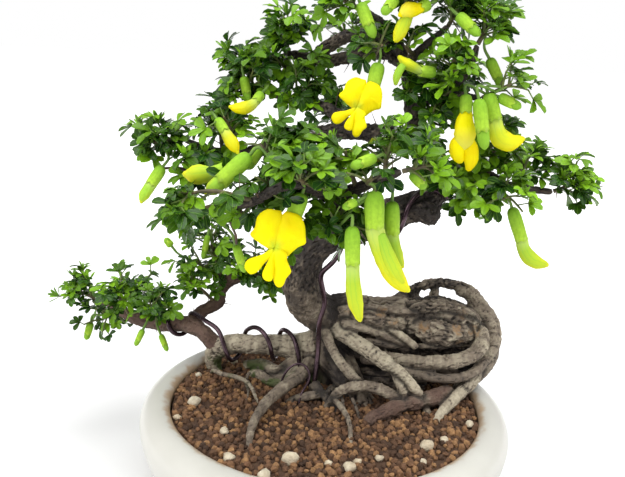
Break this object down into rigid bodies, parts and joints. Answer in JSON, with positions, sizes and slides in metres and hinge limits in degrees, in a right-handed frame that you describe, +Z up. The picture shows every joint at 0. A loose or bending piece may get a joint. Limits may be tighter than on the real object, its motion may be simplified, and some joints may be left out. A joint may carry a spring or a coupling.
{
  "type": "flowering bonsai tree in a round pot",
  "caption": "Small flowering pea-family bonsai with a bent dark trunk, looping exposed roots, wired branches, four-leaflet leaves and yellow flowers, in a pale round glazed pot",
  "frame": {"origin": "Middle of the whole bounding box in plan, at the underside of the pot's foot ring", "axes": "+Z up; +X to the viewer's right, along the tree's longest spread, from the low left branch to the right pad; the viewer stands at -Y"},
  "size_m": [0.1944, 0.1226, 0.1764],
  "materials": {
    "glaze": "satin",
    "net": "matte",
    "granules": "matte",
    "bark": "matte",
    "wire": "satin",
    "leaf": "satin",
    "petal": "satin"
  },
  "bodies": {
    "root": {"pot": "glaze", "drain_mesh": "net", "soil": "granules", "wood": "bark", "wire_limb": "wire", "wire_trunk": "wire", "tie_wire": "wire", "spray_front_top": "leaf", "spray_front_left_top": "leaf", "spray_front_left": "leaf", "spray_front_tip": "leaf", "spray_front_bloom": "leaf", "spray_front_low": "leaf", "spray_front_right_top": "leaf", "spray_front_buds": "leaf", "spray_front_right": "leaf", "spray_front_end": "leaf", "spray_left_top": "leaf", "spray_left_low": "leaf", "spray_left_tip": "leaf", "spray_left_back": "leaf", "spray_high_left_tip": "leaf", "spray_high_left_top": "leaf", "spray_high_left_low": "leaf", "spray_crown_left": "leaf", "spray_crown_tip": "leaf", "spray_crown_front": "leaf", "spray_crown_back": "leaf", "spray_east_tip": "leaf", "spray_east_front": "leaf", "spray_east_blooms": "leaf", "spray_east_back": "leaf", "spray_crown_right_tip": "leaf", "spray_right_tip": "leaf", "spray_right_back": "leaf", "spray_right_front": "leaf", "spray_right_top": "leaf", "spray_rear_tip": "leaf", "spray_low_tip": "leaf", "spray_low_front": "leaf", "spray_low_back": "leaf", "spray_low_under": "leaf", "spray_low_mid": "leaf", "spray_low_up_top": "leaf", "spray_low_up_end": "leaf", "petals_front_open": "petal", "petals_front_long": "petal", "petals_front_broad": "petal", "petals_front_third": "petal", "petals_crown_open": "petal", "petals_crown_top": "petal", "petals_crown_side": "petal", "petals_east_hanging": "petal", "petals_east_curved": "petal", "petals_right_hanging": "petal", "petals_left_high": "petal", "petals_left_front": "petal", "petals_left_mid": "petal", "petals_left_bud": "petal", "petals_left_tip": "petal"}
  },
  "joints": []
}
